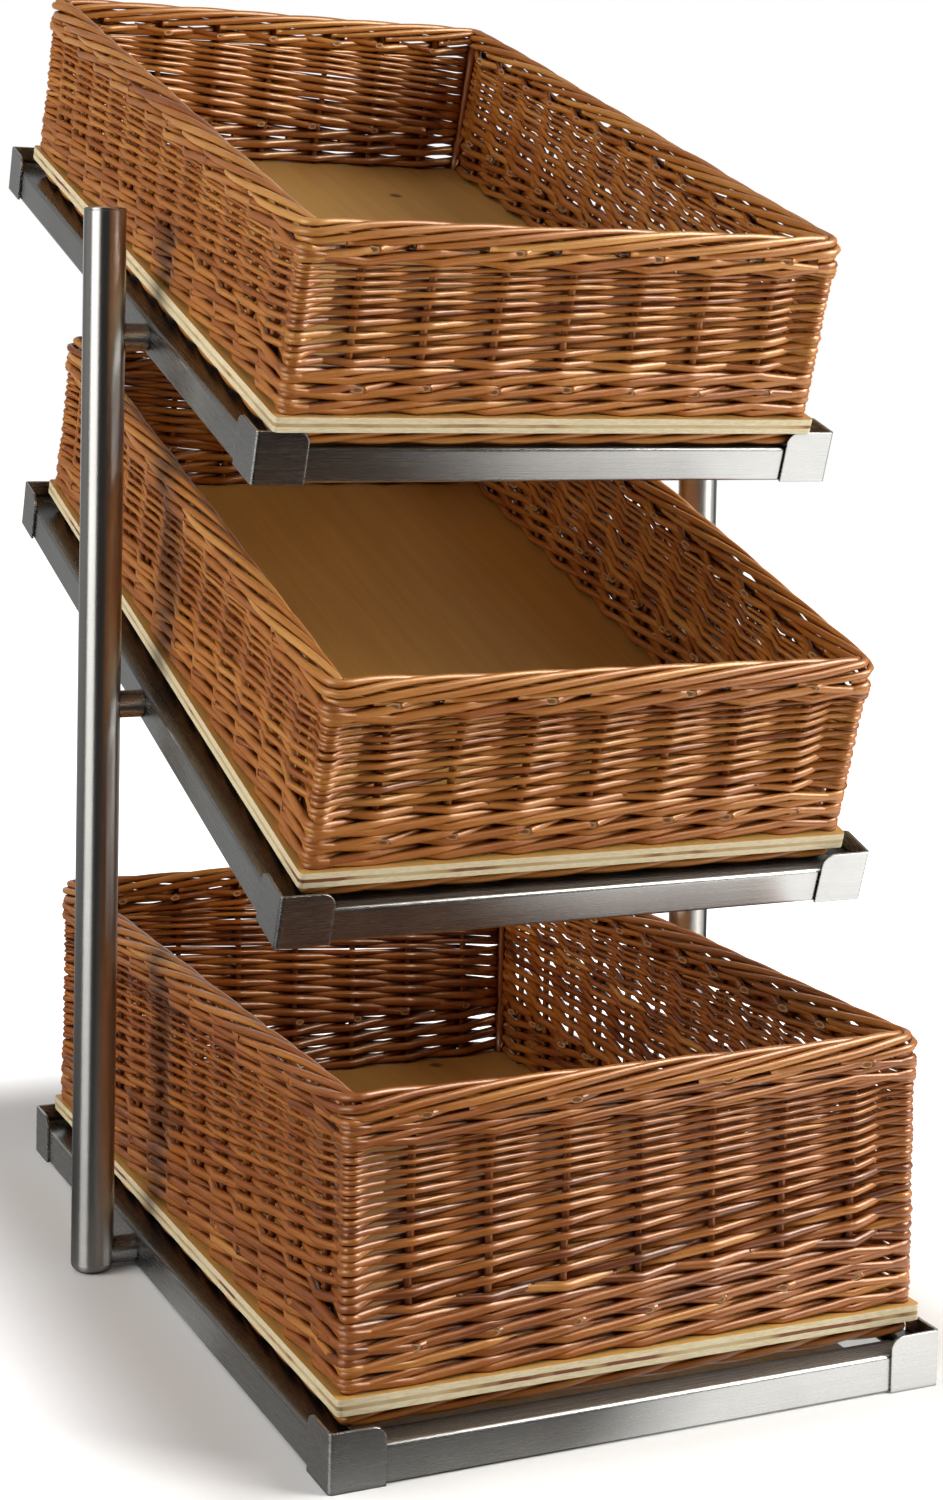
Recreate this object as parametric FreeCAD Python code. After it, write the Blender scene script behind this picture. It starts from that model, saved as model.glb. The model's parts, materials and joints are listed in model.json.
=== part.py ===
"""Three-tier bread rack: two round uprights carry three square-tube trays, and each tray holds
one lift-out willow basket on a plywood board.

Millimetres. +X is to the right, -Y is the front and +Z is up. The origin is on the floor, midway
between the two uprights. Every tray is drawn lying flat, with its own origin at the middle of its
underside, and is then tilted about the line of its two fixing screws and raised to its height.
"""
import FreeCAD
import Part
import math
import os
from collections import namedtuple

Vector = FreeCAD.Vector
X_AXIS = Vector(1, 0, 0)
Y_AXIS = Vector(0, 1, 0)
Z_AXIS = Vector(0, 0, 1)

# ------------------------------------------------------------------ tray frames
TRAY_MARGIN = 12.5          # corner plates, out from the edge of the upper two boards
RAIL_SIZE = 20.0            # square tube
RAIL_WALL = 1.5
RAIL_EDGE_RADIUS = 2.0
MITRE_CHAMFER = 2.0         # ground off each mitred corner, so that the fold of the plate clears it
PLATE_THICKNESS = 1.5
PLATE_HEIGHT = 30.0         # from the underside of the rail to the top of the upstand
PLATE_LEG = 30.0            # along each rail
PLATE_FOLD_RADIUS = 2.5     # outside of the fold
PLATE_ROUNDING = 7.0        # upper free corner of each leg
SHELF_TILT = 18.8           # degrees; the front of the two upper trays is low

# ------------------------------------------------------------------ uprights
UPRIGHT_DIAMETER = 25.0
UPRIGHT_WALL = 1.5
UPRIGHT_REACH = 74.8        # top of the cap, above the stubs of the top tray
CAP_THICKNESS = 2.0
CAP_EDGE_CHAMFER = 0.6
FOOT_HEIGHT = 6.0
FOOT_EDGE_RADIUS = 5.5
SPIGOT_LENGTH = 12.0        # of cap and foot, inside the tube
SPIGOT_CLEARANCE = 0.1      # radial

# ------------------------------------------------------------------ fixings
STUB_DIAMETER = 16.0
STUB_LENGTH = 13.5          # shortest distance from rail to upright
STUB_FLOOR = 2.0            # left between the tapped hole and the upright
SCREW_DIAMETER = 8.0
SCREW_CLEARANCE = 0.25      # radial, in the rails
THREAD_CLEARANCE = 0.05     # radial, in the stubs
SCREW_TIP_GAP = 1.5         # short of the bottom of the tapped hole
SCREW_HEAD_DIAMETER = 14.0
SCREW_HEAD_HEIGHT = 4.5
SCREW_SOCKET_SIZE = 5.0     # across flats
SCREW_SOCKET_DEPTH = 2.6

# ------------------------------------------------------------------ baskets
BOARD_WIDTH = 325.0         # of the upper two: a full-size gastronorm tray, 325 x 530
BOARD_DEPTH = 530.0
BOARD_THICKNESS = 8.5
BOARD_CORNER_RADIUS = 3.0
FOOT_BORDER_INSET = 4.0     # in from the edge of the board
FOOT_BORDER_WIDTH = 12.0
FOOT_BORDER_CORNER_RADIUS = 9.0
SEAT_GAP = 0.3              # foot border above the rails
WALL_INSET = 10.0           # middle of the woven wall, in from the edge of the board
WALL_FLARE = 1.5            # middle of the wall, further out at the top
RANDING_THICKNESS = 11.0
WALE_THICKNESS = 13.5
POST_MARGIN = 0.5           # corner post, bound round by the weavers, wider than the wale band
POST_CLEARANCE = 0.2        # between the flat end of a wall and its corner post
BORDER_WIDTH = 17.0
BORDER_BEVEL = 5.0
BORDER_CORNER_RADIUS = 14.0

Tray = namedtuple(
    "Tray", "name height setback tilt widening shift_x shift_y lower_wale randing upper_wale border"
)
# height: of the stubs and screws above the floor. setback: of the uprights behind the tray's middle.
# widening: what the basket is wider by than the upper two. shift_x, shift_y: where it stands off the
# tray's middle. The last four are the heights of the bands of the basket's wall, from the board up.
TRAYS = (
    Tray("bottom", RAIL_SIZE / 2, 50.0, 0.0, 13.0, 4.5, 4.0, 35.0, 87.0, 12.0, 14.5),
    Tray("middle", 336.7, -21.0, SHELF_TILT, 0.0, -1.0, -5.0, 26.0, 56.5, 8.5, 15.0),
    Tray("top", 553.2, -72.0, SHELF_TILT, 0.0, -4.0, -14.0, 26.0, 56.5, 8.5, 15.0),
)

# ------------------------------------------------------------------ worked out from those above
TRAY_WIDTH = BOARD_WIDTH + 2 * TRAY_MARGIN      # left to right, over the corner plates
TRAY_DEPTH = BOARD_DEPTH + 2 * TRAY_MARGIN      # front to rear, over the corner plates
UPRIGHT_HEIGHT = TRAYS[-1].height + UPRIGHT_REACH
FRAME_X = TRAY_WIDTH / 2 - PLATE_THICKNESS      # outer faces of the rails
FRAME_Y = TRAY_DEPTH / 2 - PLATE_THICKNESS
UPRIGHT_X = FRAME_X + STUB_LENGTH + UPRIGHT_DIAMETER / 2
UPRIGHT_BORE = UPRIGHT_DIAMETER - 2 * UPRIGHT_WALL
HOLE_RADIUS = SCREW_DIAMETER / 2 + SCREW_CLEARANCE
BOARD_BOTTOM = PLATE_HEIGHT
FOOT_BORDER_BOTTOM = RAIL_SIZE + SEAT_GAP
BOARD_TOP = BOARD_BOTTOM + BOARD_THICKNESS
POST_DIAMETER = WALE_THICKNESS + POST_MARGIN
SIDES = (("left", -1), ("right", 1))


# ------------------------------------------------------------------ helpers
def block(x0, x1, y0, y1, z0, z1):
    return Part.makeBox(x1 - x0, y1 - y0, z1 - z0, Vector(x0, y0, z0))


def prism(points, direction):
    """A polygon, given by its corners, pushed along a vector."""
    outline = Part.makePolygon([Vector(*p) for p in points] + [Vector(*points[0])])
    return Part.Face(outline).extrude(direction)


def edges_along(shape, axis):
    """The straight edges of a shape that run along an axis."""
    found = []
    for edge in shape.Edges:
        ends = edge.Vertexes
        if len(ends) == 2 and isinstance(edge.Curve, Part.Line):
            run = ends[1].Point - ends[0].Point
            if run.cross(axis).Length < 1e-6 * run.Length:
                found.append(edge)
    return found


def rounded_slab(half_x, half_y, z0, z1, radius):
    slab = block(-half_x, half_x, -half_y, half_y, z0, z1)
    return slab.makeFillet(radius, edges_along(slab, Z_AXIS))


def ring(half_x, half_y, width, z0, z1, radius):
    """A flat rectangular ring with round outer corners."""
    outer = rounded_slab(half_x, half_y, z0, z1, radius)
    x, y = half_x - width, half_y - width
    return outer.cut(block(-x, x, -y, y, z0, z1))


def on_tray(shape, tray):
    """Move a shape from the tray's own flat frame to its place on the rack."""
    shape = shape.copy()
    shape.translate(Vector(0, -tray.setback, -RAIL_SIZE / 2))
    shape.rotate(Vector(0, 0, 0), X_AXIS, tray.tilt)
    shape.translate(Vector(0, 0, tray.height))
    return shape


def mirrored(shape, side):
    """A shape drawn on the right, or its mirror image on the left."""
    return shape if side > 0 else shape.mirror(Vector(0, 0, 0), X_AXIS)


def save(name, shapes):
    """Write one sub-part, a single solid or a group of like solids, to its STEP file."""
    shape = shapes[0] if len(shapes) == 1 else Part.makeCompound(shapes)
    shape.exportStep("parts/" + name + ".step")


# ------------------------------------------------------------------ tray frame
def square_tube(length, axis):
    """Square tube centred on the origin along X or Y, with softened outer edges."""
    half = RAIL_SIZE / 2
    bore = half - RAIL_WALL
    if axis == X_AXIS:
        outer = block(-length / 2, length / 2, -half, half, -half, half)
        inner = block(-length, length, -bore, bore, -bore, bore)
    else:
        outer = block(-half, half, -length / 2, length / 2, -half, half)
        inner = block(-bore, bore, -length, length, -bore, bore)
    return outer.makeFillet(RAIL_EDGE_RADIUS, edges_along(outer, axis)).cut(inner)


def mitred_outline(half_length, outer):
    """Plan of a mitred rail: its outer long side is at `outer`, and it runs along the first axis.
    The sharp tips are ground off at 45 degrees."""
    inner = outer - math.copysign(RAIL_SIZE, outer)
    tip = math.copysign(MITRE_CHAMFER, outer)
    right = [
        (half_length - MITRE_CHAMFER, outer),
        (half_length - MITRE_CHAMFER / 2, outer - tip / 2),
        (half_length - RAIL_SIZE, inner),
    ]
    return right + [(-a, b) for a, b in reversed(right)]


def end_rail(side):
    """Front (side -1) or rear (side 1) rail, along X."""
    tube = square_tube(2 * FRAME_X, X_AXIS)
    tube.translate(Vector(0, side * (FRAME_Y - RAIL_SIZE / 2), RAIL_SIZE / 2))
    plan = [(x, y, 0) for x, y in mitred_outline(FRAME_X, side * FRAME_Y)]
    return tube.common(prism(plan, Vector(0, 0, RAIL_SIZE)))


def side_rail(side, tray):
    """Left (side -1) or right (side 1) rail, along Y, bored for its fixing screw."""
    tube = square_tube(2 * FRAME_Y, Y_AXIS)
    tube.translate(Vector(side * (FRAME_X - RAIL_SIZE / 2), 0, RAIL_SIZE / 2))
    plan = [(x, y, 0) for y, x in mitred_outline(FRAME_Y, side * FRAME_X)]
    rail = tube.common(prism(plan, Vector(0, 0, RAIL_SIZE)))
    start = Vector(side * (FRAME_X - 2 * RAIL_SIZE), tray.setback, RAIL_SIZE / 2)
    return rail.cut(Part.makeCylinder(HOLE_RADIUS, 3 * RAIL_SIZE, start, X_AXIS * side))


def corner_plate(side_x, side_y):
    """Folded angle round the outside of a corner. Its upstand keeps the basket on the tray."""
    x, y = TRAY_WIDTH / 2, TRAY_DEPTH / 2
    outer = block(x - PLATE_LEG, x, y - PLATE_LEG, y, 0, PLATE_HEIGHT)
    fold = [e for e in edges_along(outer, Z_AXIS) if e.Vertexes[0].X > x - 1 and e.Vertexes[0].Y > y - 1]
    outer = outer.makeFillet(PLATE_FOLD_RADIUS, fold)
    reach = x - PLATE_THICKNESS, y - PLATE_THICKNESS
    inner = block(x - 2 * PLATE_LEG, reach[0], y - 2 * PLATE_LEG, reach[1], -1, PLATE_HEIGHT + 1)
    bend = [e for e in edges_along(inner, Z_AXIS) if (e.Vertexes[0].X, e.Vertexes[0].Y) == reach]
    inner = inner.makeFillet(PLATE_FOLD_RADIUS - PLATE_THICKNESS, bend)
    plate = outer.cut(inner)
    along_x = block(x - PLATE_LEG, x + 1, y - PLATE_LEG, y + 1, 0, PLATE_HEIGHT)
    tops = [e for e in along_x.Edges if e.CenterOfMass.z > PLATE_HEIGHT - 1e-6]
    ends = [e for e in tops if e.CenterOfMass.x < x - PLATE_LEG + 1e-6]
    plate = plate.common(along_x.makeFillet(PLATE_ROUNDING, ends))
    ends = [e for e in tops if e.CenterOfMass.y < y - PLATE_LEG + 1e-6]
    plate = plate.common(along_x.makeFillet(PLATE_ROUNDING, ends))
    if side_x < 0:
        plate = plate.mirror(Vector(0, 0, 0), X_AXIS)
    if side_y < 0:
        plate = plate.mirror(Vector(0, 0, 0), Y_AXIS)
    return plate


def save_tray(tray):
    for name, side in (("front", -1), ("rear", 1)):
        save(f"{tray.name}_tray_{name}_rail", [on_tray(end_rail(side), tray)])
    for name, side in SIDES:
        save(f"{tray.name}_tray_{name}_rail", [on_tray(side_rail(side, tray), tray)])
    plates = [corner_plate(i, j) for i in (-1, 1) for j in (-1, 1)]
    save(f"{tray.name}_tray_corner_plates", [on_tray(p, tray) for p in plates])


# ------------------------------------------------------------------ uprights
def rod(radius, z0, z1):
    """Round bar on the axis of the right-hand upright."""
    return Part.makeCylinder(radius, z1 - z0, Vector(UPRIGHT_X, 0, z0))


def upright():
    """Round tube between foot and cap."""
    low, high = FOOT_HEIGHT, UPRIGHT_HEIGHT - CAP_THICKNESS
    return rod(UPRIGHT_DIAMETER / 2, low, high).cut(rod(UPRIGHT_BORE / 2, low, high))


def upright_cap():
    """Thin flat lid with a spigot that fits the tube."""
    under = UPRIGHT_HEIGHT - CAP_THICKNESS
    lid = rod(UPRIGHT_DIAMETER / 2, under, UPRIGHT_HEIGHT)
    rim = [e for e in lid.Edges if e.Closed and e.CenterOfMass.z > UPRIGHT_HEIGHT - 1e-6]
    spigot = rod(UPRIGHT_BORE / 2 - SPIGOT_CLEARANCE, under - SPIGOT_LENGTH, under)
    return lid.makeChamfer(CAP_EDGE_CHAMFER, rim).fuse(spigot)


def upright_foot():
    """Solid round-edged foot with a spigot that fits the tube, turned about the upright's axis."""
    r, edge = UPRIGHT_DIAMETER / 2, FOOT_EDGE_RADIUS
    neck = UPRIGHT_BORE / 2 - SPIGOT_CLEARANCE
    top = FOOT_HEIGHT + SPIGOT_LENGTH

    def at(out, z):
        return Vector(UPRIGHT_X + out, 0, z)

    sole = Part.makePolygon([at(0, top), at(0, 0), at(r - edge, 0)])
    middle = edge * math.sqrt(0.5)
    turn = Part.Arc(at(r - edge, 0), at(r - edge + middle, edge - middle), at(r, edge)).toShape()
    shoulder = [at(r, edge), at(r, FOOT_HEIGHT), at(neck, FOOT_HEIGHT), at(neck, top), at(0, top)]
    profile = Part.Wire(sole.Edges + [turn] + Part.makePolygon(shoulder).Edges)
    return Part.Face(profile).revolve(at(0, 0), Z_AXIS, 360)


def stub(tray):
    """Round bar that is welded to the upright, coped to fit it, and tapped at its other end."""
    start = Vector(FRAME_X, 0, tray.height)
    bar = Part.makeCylinder(STUB_DIAMETER / 2, UPRIGHT_X - FRAME_X, start, X_AXIS)
    bar = bar.cut(rod(UPRIGHT_DIAMETER / 2, -UPRIGHT_HEIGHT, 2 * UPRIGHT_HEIGHT))
    thread = SCREW_DIAMETER / 2 + THREAD_CLEARANCE
    return bar.cut(Part.makeCylinder(thread, STUB_LENGTH - STUB_FLOOR, start, X_AXIS))


def fixing_screw(tray):
    """Socket-head screw from inside the tray, through both walls of the rail, into the stub."""
    seat = FRAME_X - RAIL_SIZE
    end = FRAME_X + STUB_LENGTH - STUB_FLOOR - SCREW_TIP_GAP
    shank = Part.makeCylinder(SCREW_DIAMETER / 2, end - seat, Vector(seat, 0, tray.height), X_AXIS)
    crown = seat - SCREW_HEAD_HEIGHT
    head = Part.makeCylinder(
        SCREW_HEAD_DIAMETER / 2, SCREW_HEAD_HEIGHT, Vector(crown, 0, tray.height), X_AXIS
    )
    reach = SCREW_SOCKET_SIZE / math.sqrt(3)
    corners = [math.radians(60 * i) for i in range(6)]
    hexagon = [(crown, reach * math.cos(a), tray.height + reach * math.sin(a)) for a in corners]
    return shank.fuse(head).cut(prism(hexagon, X_AXIS * SCREW_SOCKET_DEPTH))


def save_uprights():
    for name, side in SIDES:
        save(f"{name}_upright", [mirrored(upright(), side)])
        save(f"{name}_upright_stubs", [mirrored(stub(tray), side) for tray in TRAYS])
    save("upright_caps", [mirrored(upright_cap(), side) for _, side in SIDES])
    save("upright_feet", [mirrored(upright_foot(), side) for _, side in SIDES])
    for tray in TRAYS:
        save(f"{tray.name}_tray_screws", [mirrored(fixing_screw(tray), side) for _, side in SIDES])


# ------------------------------------------------------------------ baskets
def in_basket(shape, tray):
    """Move a shape from the middle of the basket to its place on the rack."""
    shape = shape.copy()
    shape.translate(Vector(tray.shift_x, tray.shift_y, 0))
    return on_tray(shape, tray)


def half_board(tray):
    """Half the width and half the depth of a basket's board."""
    return (BOARD_WIDTH + tray.widening) / 2, BOARD_DEPTH / 2


def wall_profile(tray):
    """Section of a woven wall, as (offset outwards, height) points: a thick wale at the bottom,
    the thinner randing and a thick wale under the border, all leaning a little outwards."""
    bands = (
        (tray.lower_wale, WALE_THICKNESS),
        (tray.randing, RANDING_THICKNESS),
        (tray.upper_wale, WALE_THICKNESS),
    )
    rise = sum(height for height, _ in bands)
    low, outside, inside = 0.0, [], []
    for height, thickness in bands:
        for level in (low, low + height):
            lean = WALL_FLARE * level / rise
            outside.append((lean + thickness / 2, BOARD_TOP + level))
            inside.append((lean - thickness / 2, BOARD_TOP + level))
        low += height
    return outside + inside[::-1]


def wall(tray, axis, side):
    """One woven wall between two corner posts. It stands along `axis`, on the side `side`."""
    half_x, half_y = (half - WALL_INSET for half in half_board(tray))
    run = (half_x if axis == X_AXIS else half_y) - POST_DIAMETER / 2 - POST_CLEARANCE
    if axis == X_AXIS:
        points = [(-run, side * (half_y + out), z) for out, z in wall_profile(tray)]
    else:
        points = [(side * (half_x + out), -run, z) for out, z in wall_profile(tray)]
    return prism(points, axis * (2 * run))


def wall_height(tray):
    return tray.lower_wale + tray.randing + tray.upper_wale


def corner_post(tray, side_x, side_y):
    """Corner stake with the weavers bound round it, from the board to the border. It is drawn as
    the eight-sided bar that holds them, with flats towards the ends of the walls."""
    half_x, half_y = half_board(tray)
    x, y = side_x * (half_x - WALL_INSET), side_y * (half_y - WALL_INSET)
    reach = POST_DIAMETER / 2 / math.cos(math.pi / 8)
    turns = [math.pi / 8 + i * math.pi / 4 for i in range(8)]
    outline = [(x + reach * math.cos(a), y + reach * math.sin(a), BOARD_TOP) for a in turns]
    return prism(outline, Vector(0, 0, wall_height(tray)))


def save_basket(tray):
    half_x, half_y = half_board(tray)
    board = rounded_slab(half_x, half_y, BOARD_BOTTOM, BOARD_TOP, BOARD_CORNER_RADIUS)
    foot_x, foot_y = half_x - FOOT_BORDER_INSET, half_y - FOOT_BORDER_INSET
    foot = ring(
        foot_x, foot_y, FOOT_BORDER_WIDTH, FOOT_BORDER_BOTTOM, BOARD_BOTTOM, FOOT_BORDER_CORNER_RADIUS
    )
    reach = BORDER_WIDTH / 2 + WALL_FLARE - WALL_INSET
    low = BOARD_TOP + wall_height(tray)
    high = low + tray.border
    border = ring(half_x + reach, half_y + reach, BORDER_WIDTH, low, high, BORDER_CORNER_RADIUS)
    level = [e for e in border.Edges if e.CenterOfMass.z > high - 1e-6]
    border = border.makeChamfer(BORDER_BEVEL, level)
    sides = (("front", X_AXIS, -1), ("rear", X_AXIS, 1), ("left", Y_AXIS, -1), ("right", Y_AXIS, 1))
    prefix = f"{tray.name}_basket_"
    save(prefix + "board", [in_basket(board, tray)])
    save(prefix + "foot_border", [in_basket(foot, tray)])
    for name, axis, side in sides:
        save(prefix + name + "_wall", [in_basket(wall(tray, axis, side), tray)])
    posts = [corner_post(tray, i, j) for i in (-1, 1) for j in (-1, 1)]
    save(prefix + "corner_posts", [in_basket(p, tray) for p in posts])
    save(prefix + "border", [in_basket(border, tray)])


os.makedirs("parts", exist_ok=True)
save_uprights()
for each in TRAYS:
    save_tray(each)
    save_basket(each)
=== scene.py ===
"""Looks of the three-tier bread rack: brushed steel frame, varnished willow baskets woven rod by rod,
and their plywood boards.

Metres. Each basket is woven in its own axes: X to the right, V to the rear and W up from the board.
Its sizes are read from its CAD nodes.
"""
import json
import math

import bpy
import numpy as np
from mathutils import Matrix, Vector


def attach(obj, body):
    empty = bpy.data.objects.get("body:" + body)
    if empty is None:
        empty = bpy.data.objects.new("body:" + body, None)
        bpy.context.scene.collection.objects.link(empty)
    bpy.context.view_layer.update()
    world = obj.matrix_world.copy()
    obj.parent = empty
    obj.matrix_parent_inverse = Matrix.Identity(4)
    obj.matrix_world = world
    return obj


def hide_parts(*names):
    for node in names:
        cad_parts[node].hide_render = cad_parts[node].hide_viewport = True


MM = 0.001
AO_SAMPLES = 6
GRAIN_DEPTH = 0.3 * MM          # of the bump of every grain
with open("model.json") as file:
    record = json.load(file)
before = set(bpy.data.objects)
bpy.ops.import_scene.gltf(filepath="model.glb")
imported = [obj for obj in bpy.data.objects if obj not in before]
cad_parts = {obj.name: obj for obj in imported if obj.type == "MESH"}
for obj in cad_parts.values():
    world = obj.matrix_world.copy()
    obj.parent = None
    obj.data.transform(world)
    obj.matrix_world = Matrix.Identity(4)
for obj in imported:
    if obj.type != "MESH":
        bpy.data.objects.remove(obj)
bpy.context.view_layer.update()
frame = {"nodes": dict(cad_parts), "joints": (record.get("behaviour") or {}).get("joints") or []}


# ------------------------------------------------------------------ node helpers
class Nodes:
    """A material or world node tree with short ways to add and join nodes."""

    def __init__(self, tree):
        self.tree = tree
        tree.nodes.clear()

    def add(self, kind, **settings):
        node = self.tree.nodes.new("ShaderNode" + kind)
        for name, value in settings.items():
            setattr(node, name, value)
        return node

    def join(self, source, target):
        self.tree.links.new(source, target)

    def feed(self, socket, value):
        """Set a socket to a number or colour, or link it to another socket."""
        if isinstance(value, bpy.types.NodeSocket):
            self.join(value, socket)
        else:
            socket.default_value = value

    def math(self, operation, *values):
        node = self.add("Math", operation=operation)
        for socket, value in zip(node.inputs, values):
            self.feed(socket, value)
        return node.outputs[0]

    def vector(self, operation, *values):
        node = self.add("VectorMath", operation=operation)
        for socket, value in zip(node.inputs, values):
            self.feed(socket, value)
        return node.outputs["Value" if operation in ("LENGTH", "DOT_PRODUCT") else "Vector"]

    def split(self, vector):
        """The outputs X, Y and Z of a vector."""
        node = self.add("SeparateXYZ")
        self.join(vector, node.inputs[0])
        return node.outputs

    def turned_back(self, coordinate, angle):
        """A texture coordinate as seen in axes that are turned about X by `angle`."""
        node = self.add("VectorRotate", rotation_type="X_AXIS")
        self.join(self.add("TexCoord").outputs[coordinate], node.inputs["Vector"])
        node.inputs["Angle"].default_value = -angle
        return node.outputs["Vector"]

    def openness(self, reach):
        """From 0 in a narrow gap to 1 in the open, looking as far as `reach`."""
        node = self.add("AmbientOcclusion", samples=AO_SAMPLES)
        self.feed(node.inputs["Distance"], reach)
        return node.outputs["AO"]

    def mapped(self, value, low, high, to_low=0.0, to_high=1.0, smooth=True):
        node = self.add("MapRange", interpolation_type="SMOOTHSTEP" if smooth else "LINEAR")
        self.feed(node.inputs["Value"], value)
        node.inputs["From Min"].default_value = low
        node.inputs["From Max"].default_value = high
        node.inputs["To Min"].default_value = to_low
        node.inputs["To Max"].default_value = to_high
        return node.outputs["Result"]

    def noise(self, vector, scale, detail=2.0, roughness=0.5):
        node = self.add("TexNoise")
        self.join(vector, node.inputs["Vector"])
        node.inputs["Scale"].default_value = scale
        node.inputs["Detail"].default_value = detail
        node.inputs["Roughness"].default_value = roughness
        return node.outputs["Fac"]

    def scaled(self, vector, x, y, z):
        node = self.add("Mapping")
        self.join(vector, node.inputs["Vector"])
        node.inputs["Scale"].default_value = (x, y, z)
        return node.outputs["Vector"]

    def ramp(self, value, stops):
        node = self.add("ValToRGB")
        self.feed(node.inputs["Fac"], value)
        elements = node.color_ramp.elements
        while len(elements) < len(stops):
            elements.new(0.5)
        for element, (place, colour) in zip(elements, stops):
            element.position = place
            element.color = (*colour, 1.0)
        return node.outputs["Color"]

    def mix(self, factor, a, b):
        node = self.add("Mix", data_type="RGBA")
        self.feed(node.inputs["Factor"], factor)
        for socket, value in ((node.inputs[6], a), (node.inputs[7], b)):
            if isinstance(value, bpy.types.NodeSocket):
                self.join(value, socket)
            else:
                socket.default_value = (*value, 1.0)
        return node.outputs[2]

    def bump(self, height, strength, distance, normal=None):
        node = self.add("Bump")
        self.join(height, node.inputs["Height"])
        if normal is not None:
            self.join(normal, node.inputs["Normal"])
        node.inputs["Strength"].default_value = strength
        node.inputs["Distance"].default_value = distance
        return node.outputs["Normal"]


def new_material(name):
    material = bpy.data.materials.new(name)
    material.use_nodes = True
    return material, Nodes(material.node_tree)


def finish_surface(nodes, **sockets):
    """A Principled surface with these sockets set or linked. Names use _ for a space."""
    shader = nodes.add("BsdfPrincipled")
    for name, value in sockets.items():
        nodes.feed(shader.inputs[name.replace("_", " ")], value)
    out = nodes.add("OutputMaterial")
    nodes.join(shader.outputs["BSDF"], out.inputs["Surface"])


# ------------------------------------------------------------------ materials
WILLOW_DARK = (0.080, 0.010, 0.001)
WILLOW_RED = (0.27, 0.068, 0.006)
WILLOW_BROWN = (0.42, 0.140, 0.017)
WILLOW_GOLD = (0.62, 0.290, 0.062)
WILLOW_CUT = (0.50, 0.35, 0.17)
WILLOW_SHINE = (1.0, 0.93, 0.79, 1.0)
GAP_REACH = 7.0 * MM            # how far a rod looks for what casts its painted shade
PITH_RADIUS, PITH_EDGE = 0.9 * MM, 1.4 * MM


def willow_material():
    """Honey-varnished willow rod. `tone` is one number per rod, `grain` runs along and round it. The
    gaps between the rods get painted shade: their colour is painted darker and their shine weaker."""
    material, n = new_material("varnished_willow")
    tone = n.add("Attribute", attribute_name="tone").outputs["Fac"]
    grain = n.add("Attribute", attribute_name="grain").outputs["Vector"]
    patches = n.noise(n.scaled(grain, 14.0, 60.0, 60.0), 1.0, 2.0)
    streaks = n.noise(n.scaled(grain, 35.0, 1500.0, 1500.0), 1.0, 3.0, 0.6)
    patched = n.math("ADD", tone, n.math("MULTIPLY_ADD", patches, 0.7, -0.35))
    streaked = n.math("MULTIPLY", n.math("SUBTRACT", streaks, 0.5), 0.55)
    shade = n.math("ADD", patched, streaked)
    colour = n.ramp(
        shade,
        [(0.0, WILLOW_DARK), (0.28, WILLOW_RED), (0.62, WILLOW_BROWN), (1.0, WILLOW_GOLD)],
    )
    specks = n.mapped(n.noise(n.scaled(grain, 90.0, 300.0, 300.0), 1.0, 1.0), 0.72, 0.84, 0.0, 0.45)
    colour = n.mix(specks, colour, WILLOW_DARK)
    # painted shade: darker and less shiny where something lies close, as in the gaps between rods
    clear_of_painted_shade = n.mapped(n.openness(GAP_REACH), 0.10, 0.62)
    colour = n.mix(clear_of_painted_shade, WILLOW_DARK, colour)
    rough = n.mapped(streaks, 0.3, 0.7, 0.29, 0.41)
    ridges = n.noise(n.scaled(grain, 60.0, 1500.0, 1500.0), 1.0, 2.0)
    finish_surface(
        n,
        Base_Color=colour,
        Roughness=rough,
        Normal=n.bump(ridges, 0.25, GRAIN_DEPTH),
        Specular_IOR_Level=n.mapped(clear_of_painted_shade, 0.2, 1.0, 0.15, 1.0),
        Specular_Tint=WILLOW_SHINE,
    )
    return material


def cut_willow_material():
    """Pale end of a cut rod, with a darker pith."""
    material, n = new_material("cut_willow")
    grain = n.add("Attribute", attribute_name="grain").outputs["Vector"]
    fibres = n.noise(n.scaled(grain, 0.0, 2200.0, 2200.0), 1.0, 2.0)
    from_middle = n.vector("LENGTH", n.scaled(grain, 0.0, 1.0, 1.0))
    outside_pith = n.mapped(from_middle, PITH_RADIUS, PITH_EDGE)
    colour = n.mix(n.mapped(fibres, 0.35, 0.75, 0.0, 0.7), WILLOW_CUT, WILLOW_BROWN)
    colour = n.mix(outside_pith, WILLOW_RED, colour)
    finish_surface(n, Base_Color=colour, Roughness=0.6, Normal=n.bump(fibres, 0.3, GRAIN_DEPTH))
    return material


PLY_FACE_LIGHT = (0.65, 0.365, 0.092)
PLY_FACE_DARK = (0.48, 0.235, 0.053)
PLY_EDGE = (0.78, 0.69, 0.47)
PLY_SHADE = (0.58, 0.46, 0.25)
PLY_CORE = (0.48, 0.31, 0.13)
PLY_CORE_DARK = (0.20, 0.06, 0.018)
CORE_LEVEL, CORE_HALF = 0.48, 0.115     # of the board's thickness
KNOT = (0.13, 0.040, 0.012)
KNOT_RADIUS, KNOT_EDGE, KNOT_WOBBLE = 4.0 * MM, 8.0 * MM, 3.0 * MM
KNOTS = {"top": (0.73, 0.83), "middle": (0.30, 0.93), "bottom": (0.80, 0.95)}


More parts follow.
